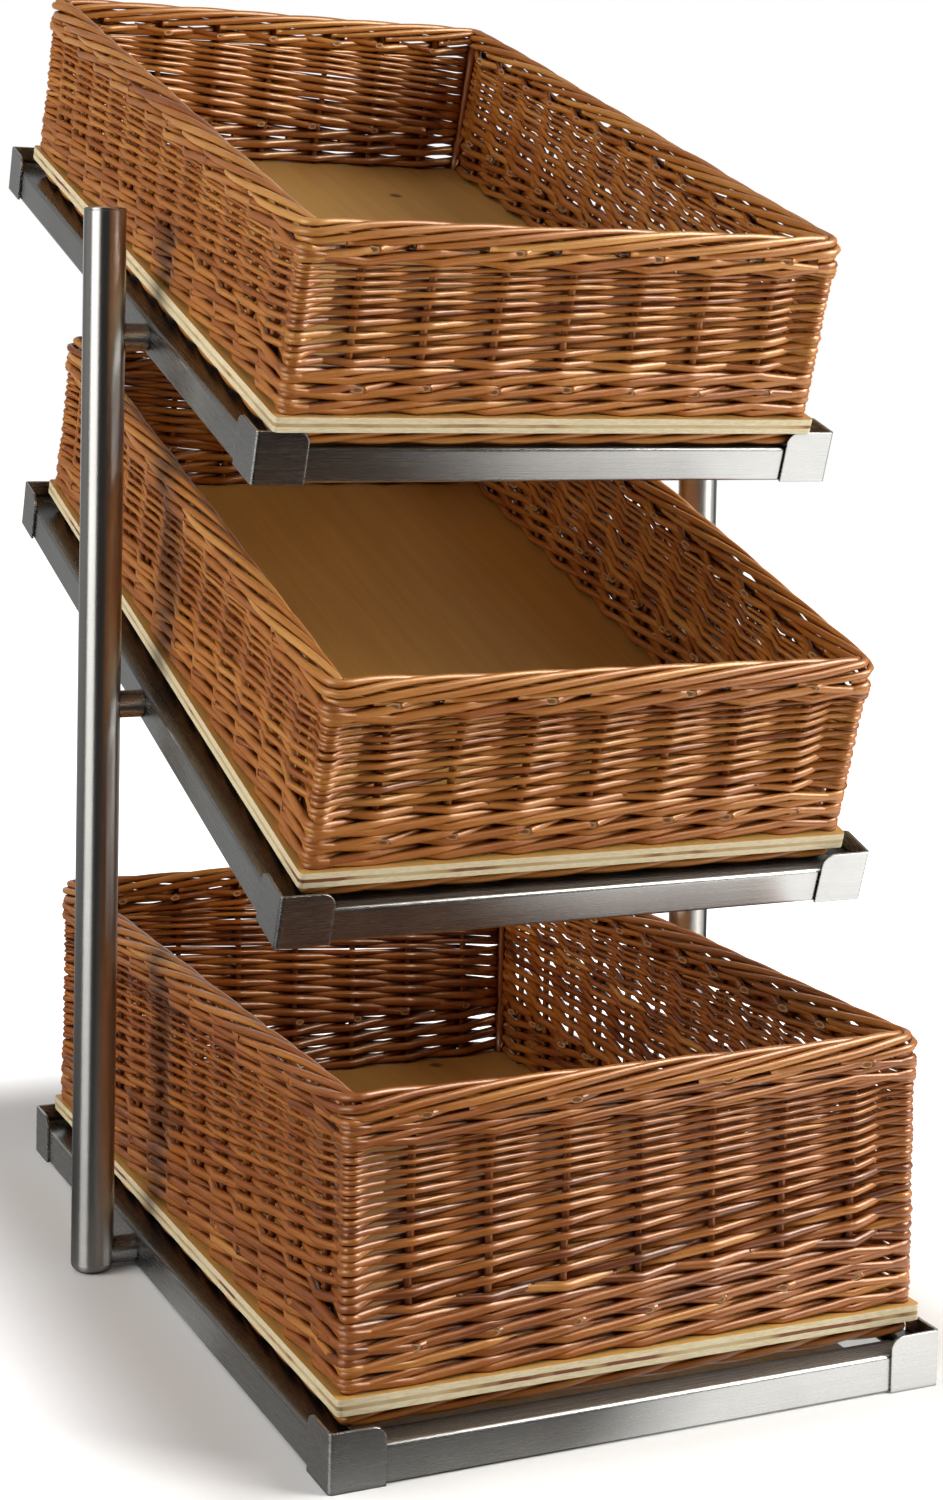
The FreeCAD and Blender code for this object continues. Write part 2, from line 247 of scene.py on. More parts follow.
def plywood_material(name, basket, knot):
    """Birch plywood: long grain on the faces, three plies on the edge. `basket` gives its axes and
    `knot` is where the face has its dark knot, as shares of the board's width and length."""
    material, n = new_material(name)
    flat = n.turned_back("Object", basket.tilt)
    warp = n.noise(n.scaled(flat, 6.0, 1.6, 6.0), 1.0, 2.0)
    wave = n.add("TexNoise")
    n.join(n.scaled(flat, 120.0, 5.0, 5.0), wave.inputs["Vector"])
    wave.inputs["Scale"].default_value = 1.0
    wave.inputs["Detail"].default_value = 4.0
    wave.inputs["Distortion"].default_value = 0.6
    fibre = n.noise(n.scaled(flat, 900.0, 22.0, 22.0), 1.0, 3.0)
    shade = n.math("ADD", n.math("MULTIPLY", warp, 0.55), n.math("MULTIPLY", wave.outputs["Fac"], 0.35))
    shade = n.math("ADD", shade, n.math("MULTIPLY", fibre, 0.25))
    face = n.ramp(shade, [(0.38, PLY_FACE_DARK), (0.72, PLY_FACE_LIGHT)])
    low, high = basket.span("board")
    knot_place = (low[0] + knot[0] * (high[0] - low[0]), low[1] + knot[1] * (high[1] - low[1]), high[2])
    from_knot = n.vector("LENGTH", n.vector("SUBTRACT", flat, knot_place))
    from_knot = n.math("ADD", from_knot, n.math("MULTIPLY", n.noise(flat, 260.0, 2.0), KNOT_WOBBLE))
    face = n.mix(n.mapped(from_knot, KNOT_RADIUS, KNOT_EDGE), KNOT, face)
    height = n.mapped(n.split(flat)["Z"], basket.board_low, basket.board_high, smooth=False)
    wobble = n.math("MULTIPLY", n.math("SUBTRACT", n.noise(flat, 55.0, 2.0), 0.5), 0.10)
    core_line = n.math("COMPARE", n.math("ADD", height, wobble), CORE_LEVEL, CORE_HALF)
    segments = n.noise(n.scaled(flat, 24.0, 24.0, 1.0), 1.0, 2.0)
    core = n.ramp(segments, [(0.38, PLY_CORE_DARK), (0.46, PLY_CORE), (0.62, PLY_SHADE)])
    edge_fibre = n.noise(n.scaled(flat, 220.0, 220.0, 1500.0), 1.0, 2.0)
    edge = n.mix(n.mapped(edge_fibre, 0.3, 0.75, 0.0, 0.6), PLY_EDGE, PLY_SHADE)
    edge = n.mix(core_line, edge, core)
    facing = n.split(n.turned_back("Normal", basket.tilt))
    level_face = n.mapped(n.math("ABSOLUTE", facing["Z"]), 0.4, 0.6)
    colour = n.mix(level_face, edge, face)
    finish_surface(
        n,
        Base_Color=colour,
        Roughness=n.mapped(fibre, 0.3, 0.7, 0.42, 0.56),
        Normal=n.bump(fibre, 0.12, GRAIN_DEPTH),
    )
    return material


RAIL_ROUGHNESS, TUBE_ROUGHNESS = (0.24, 0.29), (0.33, 0.38)
SEAM_REACH = 2.5 * MM           # how far a face that is upright or looks down looks for what casts its painted shade
COVER_REACH = 120.0 * MM        # the same for a face that looks up, which may lie under a basket and get painted shade there
EDGE_ROUNDING = 0.9 * MM


def scaled_tint(tint, share):
    return tuple(share * c for c in tint)


def steel_material(name, tint, grain, round_axis=None, along_axis=None, roughness=RAIL_ROUGHNESS):
    """Satin-ground stainless steel, with painted shade in its seams and under a basket. `grain` is a
    turn about X and the scale of the scratches on the three axes. The shine spreads round one axis,
    across the grind, or along one, as up a tube."""
    angle, scales = grain
    material, n = new_material(name)
    place = n.turned_back("Object", angle)
    scratches = n.noise(n.scaled(place, *scales), 1.0, 3.0, 0.6)
    clouds = n.noise(place, 30.0, 3.0)
    colour = n.mix(n.mapped(scratches, 0.3, 0.7), scaled_tint(tint, 0.94), tint)
    colour = n.mix(n.mapped(clouds, 0.35, 0.75, 0.0, 0.22), colour, scaled_tint(tint, 0.7))
    normal = n.add("NewGeometry").outputs["Normal"]
    # painted shade: seams, and faces that look up from under a basket, are mixed towards near black
    reach = n.mapped(n.split(normal)["Z"], 0.15, 0.5, SEAM_REACH, COVER_REACH)
    colour = n.mix(n.mapped(n.openness(reach), 0.35, 0.90), scaled_tint(tint, 0.12), colour)
    rough = n.mapped(scratches, 0.25, 0.75, *roughness)
    rounded = n.add("Bevel", samples=4)
    rounded.inputs["Radius"].default_value = EDGE_ROUNDING
    if round_axis is not None:
        spread = n.vector("CROSS_PRODUCT", normal, round_axis)
    else:
        spread = n.vector("CROSS_PRODUCT", normal, n.vector("CROSS_PRODUCT", along_axis, normal))
    finish_surface(
        n,
        Base_Color=colour,
        Metallic=1.0,
        Roughness=rough,
        Normal=n.bump(scratches, 0.015, GRAIN_DEPTH, rounded.outputs["Normal"]),
        Anisotropic=0.9,
        Tangent=spread,
    )
    return material


# ------------------------------------------------------------------ one basket's axes and sizes
class Basket:
    """Axes and sizes of one basket, read from its CAD nodes."""

    def __init__(self, name):
        self.name = name
        self.body = name + "_basket"
        joint = next(j for j in frame["joints"] if j["child"] == self.body)
        self.w = np.array(joint["axis"], float)
        self.w /= np.linalg.norm(self.w)
        self.x = np.array([1.0, 0.0, 0.0])
        self.v = np.cross(self.w, self.x)
        self.tilt = math.atan2(self.v[2], self.v[1])
        board = self.span("board")
        self.centre = board.mean(axis=0)[:2]
        self.board_low, self.board_high = board[:, 2]
        posts, front, right = self.span("corner_posts"), self.span("front_wall"), self.span("right_wall")
        self.half_x = (posts[1, 0] - posts[0, 0] + front[1, 0] - front[0, 0]) / 4
        self.half_v = (posts[1, 1] - posts[0, 1] + right[1, 1] - right[0, 1]) / 4
        levels = self.levels("front_wall")
        self.wall_top = levels[-1]
        self.lower_wale = levels[1] - levels[0]
        self.randing = levels[2] - levels[1]
        self.upper_wale = levels[3] - levels[2]
        self.border = self.span("border")
        self.foot = self.span("foot_border")

    def node(self, part):
        return f"{self.body}_{part}"

    def vertices(self, part):
        mesh = frame["nodes"][self.node(part)].data
        co = np.zeros(len(mesh.vertices) * 3)
        mesh.vertices.foreach_get("co", co)
        return co.reshape(-1, 3) @ np.array([self.x, self.v, self.w]).T

    def span(self, part):
        own = self.vertices(part)
        return np.array([own.min(axis=0), own.max(axis=0)])

    def levels(self, part):
        """The heights at which a wall has corners, from the board up."""
        return np.unique(np.round(self.vertices(part)[:, 2], 4))

    def to_row(self, own):
        """Points in the basket's own axes, as points in the row frame."""
        return own @ np.array([self.x, self.v, self.w])


# ------------------------------------------------------------------ stakes round the basket
FRONT_STAKES, SIDE_STAKES = 7, 12
FRONT_STAKE_SHARE, SIDE_STAKE_SHARE = 0.807, 0.871     # of the wall, between the end stakes
TURN = 0.12                                            # of a bay, given to a corner on each side of it
STATIONS = 2 * (FRONT_STAKES + SIDE_STAKES) + 4
WALL_FLARE = 1.5 * MM                                  # outwards, from the board to the top of the wall


class Loop:
    """The line of stakes, counted anticlockwise from the front left corner, with its outward normal."""

    def __init__(self, basket, half_x=None, half_v=None, cut=0.0):
        """`cut` is how far from each corner the line leaves the walls, to round it."""
        self.basket = basket
        hx = basket.half_x if half_x is None else half_x
        hv = basket.half_v if half_v is None else half_v
        xs = np.linspace(-1, 1, FRONT_STAKES) * hx * FRONT_STAKE_SHARE
        vs = np.linspace(-1, 1, SIDE_STAKES) * hv * SIDE_STAKE_SHARE
        sides = [
            [(x, -hv) for x in xs], [(hx, v) for v in vs],
            [(x, hv) for x in xs[::-1]], [(-hx, v) for v in vs[::-1]],
        ]
        corners = np.array([(-hx, -hv), (hx, -hv), (hx, hv), (-hx, hv)])
        ahead = cut * np.array([(1, 0), (0, 1), (-1, 0), (0, -1)])
        q, points, angles, self.corners = [], [], [], []
        station = 0
        for k, (corner, side) in enumerate(zip(corners, sides)):
            angle = -math.pi / 2 + k * math.pi / 2
            self.corners.append(station)
            q += [station - TURN, station + TURN]
            points += [corner - ahead[k - 1], corner + ahead[k]]
            angles += [angle - math.pi / 2, angle]
            for point in side:
                station += 1
                q.append(station)
                points.append(point)
                angles.append(angle)
            station += 1
        q.append(station - TURN)
        points.append(corners[0] - ahead[-1])
        angles.append(angles[-1])
        self.q, self.points, self.angles = np.array(q), np.array(points), np.array(angles)

    def is_corner(self, station):
        return np.isin(np.mod(station, STATIONS), self.corners)

    def wall_of(self, station):
        """0 to 3 for the front, right, rear and left wall."""
        return np.searchsorted(self.corners, np.mod(station, STATIONS), side="right") - 1

    def place(self, q, out, height):
        """Row-frame points at station q, `out` from the line of stakes and `height` above the board."""
        b = self.basket
        q = np.mod(q + TURN, STATIONS) - TURN
        angle = np.interp(q, self.q, self.angles)
        out = out + WALL_FLARE * height / (b.wall_top - b.board_high)
        x = b.centre[0] + np.interp(q, self.q, self.points[:, 0]) + out * np.cos(angle)
        v = b.centre[1] + np.interp(q, self.q, self.points[:, 1]) + out * np.sin(angle)
        return b.to_row(np.stack([x, v, b.board_high + height], axis=-1))


# ------------------------------------------------------------------ rods
TONE_SHIFTS = {"top": 0.04, "middle": 0.02, "bottom": -0.15}
GRAIN_LENGTH = 40               # metres of grain, in which each rod starts somewhere


class Rods:
    """Collects round rods and makes one mesh of them."""

    def __init__(self, basket, rng):
        self.basket = basket
        self.rng = rng
        self.parts = []

    def add(self, centres, radii, up, tone, sides=7, closed=False, slant=0.0):
        """centres is (rods, points, 3), radii the same without the last axis. `up` is a direction
        that no rod runs along. `slant` turns the cut at the start of each rod to face outwards, or
        inwards if it is below 0."""
        centres = np.asarray(centres, float)
        radii = np.broadcast_to(radii, centres.shape[:2])
        rods = len(centres)
        if closed:
            ahead = np.roll(centres, -1, axis=1) - np.roll(centres, 1, axis=1)
        else:
            ahead = np.gradient(centres, axis=1)
        ahead /= np.linalg.norm(ahead, axis=-1, keepdims=True)
        out = np.cross(ahead, np.broadcast_to(up, centres.shape))
        out /= np.linalg.norm(out, axis=-1, keepdims=True)
        across = np.cross(out, ahead)
        turns = np.arange(sides) / sides * 2 * math.pi
        ring = np.cos(turns)[:, None] * out[..., None, :] + np.sin(turns)[:, None] * across[..., None, :]
        points = centres[..., None, :] + radii[..., None, None] * ring
        lead = slant * np.cos(turns)[None, :, None] * radii[:, 0, None, None]
        points[:, 0] += lead * ahead[:, 0, None, :]
        steps = np.linalg.norm(np.diff(centres, axis=1), axis=-1)
        along = np.concatenate([np.zeros((rods, 1)), np.cumsum(steps, axis=1)], axis=1)
        start = self.rng.uniform(0, GRAIN_LENGTH, (rods, 1))
        grain = np.stack([
            np.broadcast_to((along + start)[..., None], points.shape[:3]),
            radii[..., None] * np.cos(turns),
            radii[..., None] * np.sin(turns),
        ], axis=-1)
        tone = np.asarray(tone, float).reshape(-1, 1, 1) + TONE_SHIFTS[self.basket.name]
        tones = np.broadcast_to(tone, points.shape[:3])
        self.parts.append((points, grain, tones, closed))

    def mesh(self, name, materials):
        """One object with every rod added so far."""
        verts, grain, tone, faces, smooth, slots = [], [], [], [], [], []
        base = 0
        for points, grains, tones, closed in self.parts:
            rods, count, sides = points.shape[:3]
            index = base + np.arange(rods * count * sides).reshape(rods, count, sides)
            ahead = np.roll(index, -1, axis=1) if closed else index[:, 1:]
            here = index if closed else index[:, :-1]
            quads = np.stack([here, ahead, np.roll(ahead, -1, axis=2), np.roll(here, -1, axis=2)], axis=-1)
            quads = quads.reshape(-1, 4)[:, ::-1]
            faces += quads.tolist()
            smooth += [True] * len(quads)
            slots += [0] * len(quads)
            if not closed:
                caps = index[:, 0, :].tolist() + index[:, -1, ::-1].tolist()
                faces += caps
                smooth += [False] * len(caps)
                slots += [1] * len(caps)
            verts.append(points.reshape(-1, 3))
            grain.append(grains.reshape(-1, 3))
            tone.append(tones.reshape(-1))
            base += rods * count * sides
        mesh = bpy.data.meshes.new(name)
        mesh.from_pydata(np.concatenate(verts).tolist(), [], faces)
        mesh.polygons.foreach_set("use_smooth", smooth)
        mesh.polygons.foreach_set("material_index", slots)
        for key, kind, values in (("grain", "FLOAT_VECTOR", grain), ("tone", "FLOAT", tone)):
            field = "vector" if kind == "FLOAT_VECTOR" else "value"
            made = mesh.attributes.new(key, kind, "POINT")
            made.data.foreach_set(field, np.concatenate(values).astype(np.float32).ravel())
        for material in materials:
            mesh.materials.append(material)
        mesh.validate()
        obj = bpy.data.objects.new(name, mesh)
        bpy.context.scene.collection.objects.link(obj)
        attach(obj, self.basket.body)
        return obj


EASE = 0.22                     # 0 would run straight from one stake to the next


def eased(share):
    """From 0 to 1 over a bay, a little steeper at the stakes, where the rod turns sharply."""
    return share + EASE * np.sin(2 * math.pi * share) / (2 * math.pi)


def between(values, shares):
    """Values at whole stations, (rods, stations), carried to the points of each bay. `shares` is
    how far along its bay each point lies, (rods, bays, points)."""
    bays = values[:, :-1, None] + (values[:, 1:] - values[:, :-1])[..., None] * shares
    return np.concatenate([bays.reshape(len(values), -1), values[:, -1:]], axis=1)


# ------------------------------------------------------------------ weaving
STAKE_RADIUS, CORNER_STAKE_RADIUS = 2.1 * MM, 3.2 * MM
STAKE_INTO_BORDER = 4.0 * MM
SHORT_ROD_POINTS = 9            # along a stake or a cut rod
ROD_SHARE = 0.262               # a weaver's radius, of the pitch of its row
WEAVE_DEPTH = 4.5 * MM          # of a rod's middle, in front of or behind the line of stakes
DEPTH_SPREAD, LEVEL_SPREAD = 0.35 * MM, 0.42 * MM
CORNER_DEPTH = 5.0 * MM
CORNER_DIP = -2.6 * MM          # how far in a rod turns beside a corner, between two fronts
DIP_START, DIP_LOWEST, DIP_END = 0.12, 0.42, 0.92      # of the bay, from the corner
BEHIND_DROP = (3.1, 0.4, -2.0, 3.1)   # mm lower behind a stake than half way between two rows, by wall
BEATEN_DOWN = (1.0, 1.26, 1.27, 1.0)  # how much fuller the rods lie on each wall
EVEN_SHARES = np.arange(10) / 10
LEAVING_SHARES = np.array([0.0, 0.05, 0.10, 0.15, 0.21, 0.28, 0.36, 0.46, 0.60, 0.80])
ARRIVING_SHARES = np.array([0.0, 0.20, 0.40, 0.54, 0.64, 0.72, 0.79, 0.85, 0.90, 0.95])


def bay_shares(loop, station):
    """Where the points of each bay lie: closer together beside a corner, where a rod turns."""
    leaving = loop.is_corner(station[:, :-1])[..., None]
    arriving = loop.is_corner(station[:, 1:])[..., None]
    return np.where(leaving, LEAVING_SHARES, np.where(arriving, ARRIVING_SHARES, EVEN_SHARES))


def dipped(depth, loop, station, front, shares):
    """Rods that pass outside a corner post and in front of the next stake turn in between them."""
    count = shares.shape[-1]
    bays = depth[:, :-1].reshape(len(depth), -1, count)
    from_corner = loop.is_corner(station[:, :-1]) & front[:, 1:]
    to_corner = loop.is_corner(station[:, 1:]) & front[:, :-1]
    beside = np.where(from_corner[..., None], shares, 1 - shares)
    inwards = np.clip((beside - DIP_START) / (DIP_LOWEST - DIP_START), 0, 1)
    outwards = np.clip((beside - DIP_LOWEST) / (DIP_END - DIP_LOWEST), 0, 1)
    turned_in = CORNER_DEPTH + (CORNER_DIP - CORNER_DEPTH) * eased(inwards)
    coming_out = CORNER_DIP + (WEAVE_DEPTH - CORNER_DIP) * eased(outwards)
    dip = np.where(beside < DIP_LOWEST, turned_in, coming_out)
    bays = np.where((from_corner | to_corner)[..., None], dip, bays)
    return np.concatenate([bays.reshape(len(depth), -1), depth[:, -1:]], axis=1)


def weave_randing(basket, loop, rods, rng, low, height, first_pitch, last_pitch):
    """One rod from each stake, in front of one stake and behind the next, rising as it goes. Its rows
    lie closer together towards the top, where the rod is thinner."""
    growth = (last_pitch - first_pitch) / (2 * height)
    length = math.log(last_pitch / first_pitch) / growth
    last = 2 * int(round((length - 1) / 2)) + 1
    steps = np.arange(-1, last + 1)
    stretch = length / last
    station = np.arange(STATIONS)[:, None] + steps
    corner = loop.is_corner(station)
    front = np.broadcast_to((steps % 2 == 0)[None, :], station.shape)
    depth = np.where(corner, CORNER_DEPTH, np.where(front, WEAVE_DEPTH, -WEAVE_DEPTH))
    depth = depth + rng.normal(0, DEPTH_SPREAD, depth.shape) * ~corner
    level = first_pitch / (2 * growth) * (np.exp(growth * np.maximum(steps, 0) * stretch) - 1)
    wall = loop.wall_of(station)
    drop = np.where(front | corner | (steps < 1), 0.0, MM * np.array(BEHIND_DROP)[wall])
    thick = ROD_SHARE * (first_pitch + (last_pitch - first_pitch) * level / height)
    level = low + thick + level[None, :] - drop + rng.normal(0, LEVEL_SPREAD, depth.shape)
    level = np.clip(level, low + 0.5 * MM, low + height)
    shares = bay_shares(loop, station)
    q = between(station.astype(float), shares)
    radii = between(thick * np.array(BEATEN_DOWN)[wall], shares)
    radii = radii * rng.normal(1, 0.10, (STATIONS, 1))
    depth = dipped(between(depth, eased(shares)), loop, station, front, shares)
    rods.add(loop.place(q, depth, between(level, shares)), radii, basket.w, rng.normal(0.5, 0.12, STATIONS))


WALE_RADIUS = 2.7 * MM          # at most
WALE_SHARE = 0.305              # a weaver's radius, of the height of a round
WALE_LEVELS = (-0.02, -0.33, 0.27)      # of a round, behind a stake and in front of the next two
WALE_CORNER_DEPTH = CORNER_DEPTH + 0.4 * MM


def weave_wale(basket, loop, rods, rng, low, height, rounds):
    """Three weavers, each in front of two stakes and behind the third."""
    pitch = height / rounds
    radius = min(WALE_SHARE * pitch, WALE_RADIUS)
    station = np.arange(STATIONS + 1)[None, :]
    corner = loop.is_corner(station)
    shares = bay_shares(loop, station)
    q = between(station.astype(float), shares)[:, :-1]
    for turn in range(rounds):
        for weaver in range(3):
            phase = (station + weaver + turn) % 3
            depth = np.where(phase == 0, -1.0, 1.0) * (STAKE_RADIUS + radius)
            depth = np.where(corner, WALE_CORNER_DEPTH, depth)
            level = low + pitch * (turn + 0.5) + np.choose(phase, WALE_LEVELS) * pitch
            level = level + rng.normal(0, 0.3 * MM, level.shape)
            level[:, -1] = level[:, 0]
            out = between(depth, eased(shares))[:, :-1]
            up = between(level, eased(shares))[:, :-1]
            rods.add(loop.place(q, out, up), radius * rng.normal(1, 0.05), basket.w,
                     [rng.normal(0.52, 0.12)], closed=True)


def add_stakes(basket, loop, rods, rng, corners):
    """Upright stakes from the board into the border: those in the corners, or all the others."""
    stations = [s for s in range(STATIONS) if loop.is_corner(s) == corners]
    top = basket.border[0, 2] - basket.board_high + STAKE_INTO_BORDER
    heights = np.linspace(0.0, top, SHORT_ROD_POINTS)[None, :]
    q = np.array(stations, float)[:, None] + 0 * heights
    sway = rng.normal(0, 0.01, q.shape) if not corners else 0 * q
    centres = loop.place(q + sway, 0 * q, heights + 0 * q)
    radius = CORNER_STAKE_RADIUS if corners else STAKE_RADIUS
    rods.add(centres, radius * rng.normal(1, 0.05, (len(stations), 1)), basket.v + 0.3 * basket.x,
             rng.normal(0.4, 0.12, len(stations)))


ROLL_RADIUS, TIP_RADIUS = 5.4 * MM, 2.3 * MM
TIP_BAYS, TIP_POINTS = 5.3, 44
TIP_START, TIP_SWEEP = -70, 310         # degrees round the roll, from outwards
BORDER_CORNER = 3.0 * MM


def roll_border(basket, rods, rng):
    """Each stake's tip is rolled over its neighbours, so five lie side by side round the border."""
    high = basket.border[1]
    inset = ROLL_RADIUS + TIP_RADIUS
    out_x, out_v = high[:2] - basket.centre - inset
    middle = high[2] - inset - basket.board_high
    loop = Loop(basket, out_x, out_v, BORDER_CORNER)
    share = np.linspace(0, 1, TIP_POINTS)[None, :]
    start = np.arange(STATIONS)[:, None] - 0.3
    q = start + share * TIP_BAYS
    angle = np.radians(TIP_START + TIP_SWEEP * share) + rng.normal(0, 0.07, (STATIONS, 1))
    swell = ROLL_RADIUS * (1 + rng.normal(0, 0.05, (STATIONS, 1)))
    out = swell * np.cos(angle) - WALL_FLARE
    up = middle + swell * np.sin(angle)
    taper = TIP_RADIUS * (1.04 - 0.16 * share) * rng.normal(1, 0.05, (STATIONS, 1))
    rods.add(loop.place(q, out, up), taper, basket.w, rng.normal(0.68, 0.15, STATIONS), sides=8)


ROPE_POINTS = 10                # per bay
RADII_PER_ROPE = 4.1            # in its height


def twist_foot(basket, rods, rng):
    """Rope of three rods under the board."""
    low, high = basket.foot[:, 2]
    radius = (high - low) / RADII_PER_ROPE
    swing = (high - low) / 2 - radius
    middle = (low + high) / 2 - basket.board_high
    half_x, half_v = (basket.foot[1] - basket.foot[0])[:2] / 2 - (high - low) / 2
    loop = Loop(basket, half_x, half_v)
    q = np.arange(STATIONS * ROPE_POINTS)[None, :] / ROPE_POINTS
    for strand in range(3):
        angle = 2 * math.pi * (q / 3 + strand / 3)
        swell = swing * (1 + 0.04 * np.sin(angle * 2))
        rods.add(loop.place(q, swell * np.cos(angle), middle + swell * np.sin(angle)), radius,
                 basket.w, [rng.normal(0.62, 0.1)], closed=True)


CUT_START, CUT_TRAVEL = 6.9 * MM, 7.4 * MM      # off the line of stakes, and from there back across it
CUT_BAYS, CUT_RISE, CUT_SLANT = 0.55, 2.2 * MM, 1.7
CUT_RADIUS = 2.1 * MM


def cut_ends(basket, loop, rods, rng, height, stations, side=1):
    """Rods that start outside (side 1) or inside (-1) with a slanting cut and run in between the
    weavers."""
    share = np.linspace(0, 1, SHORT_ROD_POINTS)[None, :]
    start = np.asarray(stations, float)[:, None] + rng.normal(0.05, 0.07, (len(stations), 1))
    q = start + CUT_BAYS * share
    out = side * (CUT_START - CUT_TRAVEL * share ** 1.2)
    up = height + CUT_RISE * share + rng.normal(0, 0.6 * MM, (len(stations), 1))
    rods.add(loop.place(q, out, up), CUT_RADIUS * rng.normal(1, 0.08, (len(stations), 1)), basket.w,
             rng.normal(0.45, 0.14, len(stations)), slant=CUT_SLANT * side)


SHALLOW_PITCHES, DEEP_PITCHES = (8.6 * MM, 4.2 * MM), (9.5 * MM, 3.8 * MM)     # first and last row
RANDING_PITCH = {"top": SHALLOW_PITCHES, "middle": SHALLOW_PITCHES, "bottom": DEEP_PITCHES}
LOWER_ROUNDS = {"top": 3, "middle": 3, "bottom": 4}
UPPER_ROUNDS = {"top": 1, "middle": 1, "bottom": 2}
WALE_INTO_BORDER = 2.0 * MM


def weave_basket(name, seed, willow, cut):
    """Weave all of one basket but its board. The CAD nodes that its pieces stand for are hidden."""
    basket = Basket(name)
    rng = np.random.default_rng(seed)
    loop = Loop(basket)
    both = [willow, cut]

    rods = Rods(basket, rng)
    weave_randing(basket, loop, rods, rng, basket.lower_wale, basket.randing, *RANDING_PITCH[name])
    piece = rods.mesh(basket.body + "_woven_walls", both)
    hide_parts(*[basket.node(side + "_wall") for side in ("front", "rear", "left", "right")])

    rods = Rods(basket, rng)
    weave_wale(basket, loop, rods, rng, 0.0, basket.lower_wale, LOWER_ROUNDS[name])
    weave_wale(basket, loop, rods, rng, basket.lower_wale + basket.randing,
               basket.upper_wale + WALE_INTO_BORDER, UPPER_ROUNDS[name])
    rods.mesh(basket.body + "_wales", both)

    rods = Rods(basket, rng)
    inner = [s for s in range(STATIONS) if not loop.is_corner(s)]
    top = basket.wall_top - basket.board_high
    cut_ends(basket, loop, rods, rng, top + 1.0 * MM, inner[::2])
    cut_ends(basket, loop, rods, rng, 0.56 * basket.lower_wale, inner)
    cut_ends(basket, loop, rods, rng, basket.lower_wale + 2.0 * MM, inner, -1)
    cut_ends(basket, loop, rods, rng, top - 2.0 * MM, inner, -1)
    rods.mesh(basket.body + "_rod_ends", both)

    rods = Rods(basket, rng)
    add_stakes(basket, loop, rods, rng, False)
    rods.mesh(basket.body + "_stakes", both)

    rods = Rods(basket, rng)
    add_stakes(basket, loop, rods, rng, True)
    piece = rods.mesh(basket.body + "_corner_stakes", both)
    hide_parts(basket.node("corner_posts"))

    rods = Rods(basket, rng)
    roll_border(basket, rods, rng)
    piece = rods.mesh(basket.body + "_rolled_border", both)
    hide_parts(basket.node("border"))

    rods = Rods(basket, rng)
    twist_foot(basket, rods, rng)
    piece = rods.mesh(basket.body + "_foot_rope", both)
    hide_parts(basket.node("foot_border"))
    return basket


def paint(node, material):
    """Give a CAD node this one material."""
    obj = frame["nodes"][node]
    obj.data.materials.clear()
    obj.data.materials.append(material)


STEEL_TUBE = (0.52, 0.505, 0.475)
STEEL_RAIL = (0.54, 0.535, 0.515)
FINE, COARSE = 1100.0, 9.0              # scale of the scratches across the grind and along it
GRIND_X = (0.0, (COARSE, FINE, FINE))
GRIND_ROUND_Z = (0.0, (90.0, 90.0, 1400.0))
NEAR_X, NEAR_Z = (1.0, 0.02, 0.03), (0.02, 0.03, 1.0)      # just off the axes: no face lies square to one
FIRST_SEED = 11

willow, cut = willow_material(), cut_willow_material()
for seed, name in enumerate(("bottom", "middle", "top"), FIRST_SEED):
    basket = weave_basket(name, seed, willow, cut)
    paint(basket.node("board"), plywood_material(name + "_plywood", basket, KNOTS[name]))
    grind_v = (basket.tilt, (FINE, COARSE, FINE))
    near_v = (0.02, *(basket.v[1:] + 0.02 * basket.w[1:]))
    side_steel = steel_material(name + "_side_rail_steel", STEEL_RAIL, grind_v, round_axis=near_v)
    end_steel = steel_material(name + "_end_rail_steel", STEEL_RAIL, GRIND_X, round_axis=NEAR_X)
    for side in ("left", "right"):
        paint(f"{name}_tray_{side}_rail", side_steel)
    for side in ("front", "rear"):
        paint(f"{name}_tray_{side}_rail", end_steel)
    grind_plate = (basket.tilt, (25.0, 25.0, FINE))
    near_w = (0.02, *(basket.w[1:] + 0.02 * basket.v[1:]))
    paint(f"{name}_tray_corner_plates",
          steel_material(name + "_plate_steel", STEEL_RAIL, grind_plate, along_axis=near_w))
    paint(f"{name}_tray_screws",
          steel_material(name + "_screw_steel", STEEL_TUBE, GRIND_ROUND_Z, along_axis=NEAR_X))

tube_steel = steel_material(
    "upright_steel", STEEL_TUBE, GRIND_ROUND_Z, along_axis=NEAR_Z, roughness=TUBE_ROUGHNESS
)
stub_steel = steel_material("stub_steel", STEEL_TUBE, GRIND_ROUND_Z, along_axis=NEAR_X)
for node in ("left_upright", "right_upright", "upright_caps", "upright_feet"):
    paint(node, tube_steel)
for node in ("left_upright_stubs", "right_upright_stubs"):
    paint(node, stub_steel)


# ------------------------------------------------------------------ floor, lights and camera
FLOOR_HALF = 7.0
FLOOR_COLOUR = (0.85, 0.85, 0.85, 1.0)
FOOTPRINT = (0.20, 0.31, 0.0)           # about half the object's width and depth
WHITE_FROM = 0.15                       # metres off the footprint
PAINTED_PATCH_WAY, PAINTED_PATCH_STRENGTH = (1.0, 0.75, 0.0), 1.7         # painted reflection, a glow seen only in glosses; the way is square to its left edge
NEAR_SHARE, NEAR_REACH = 0.62, 0.10     # under the object a gloss sees this share of the painted glow


def floor_sheet():
    """A square on the floor plane, far wider than the picture."""
    mesh = bpy.data.meshes.new("floor")
    corners = [(x * FLOOR_HALF, y * FLOOR_HALF, 0) for x, y in ((-1, -1), (1, -1), (1, 1), (-1, 1))]
    mesh.from_pydata(corners, [], [(0, 1, 2, 3)])
    obj = bpy.data.objects.new("floor", mesh)
    bpy.context.scene.collection.objects.link(obj)
    return obj


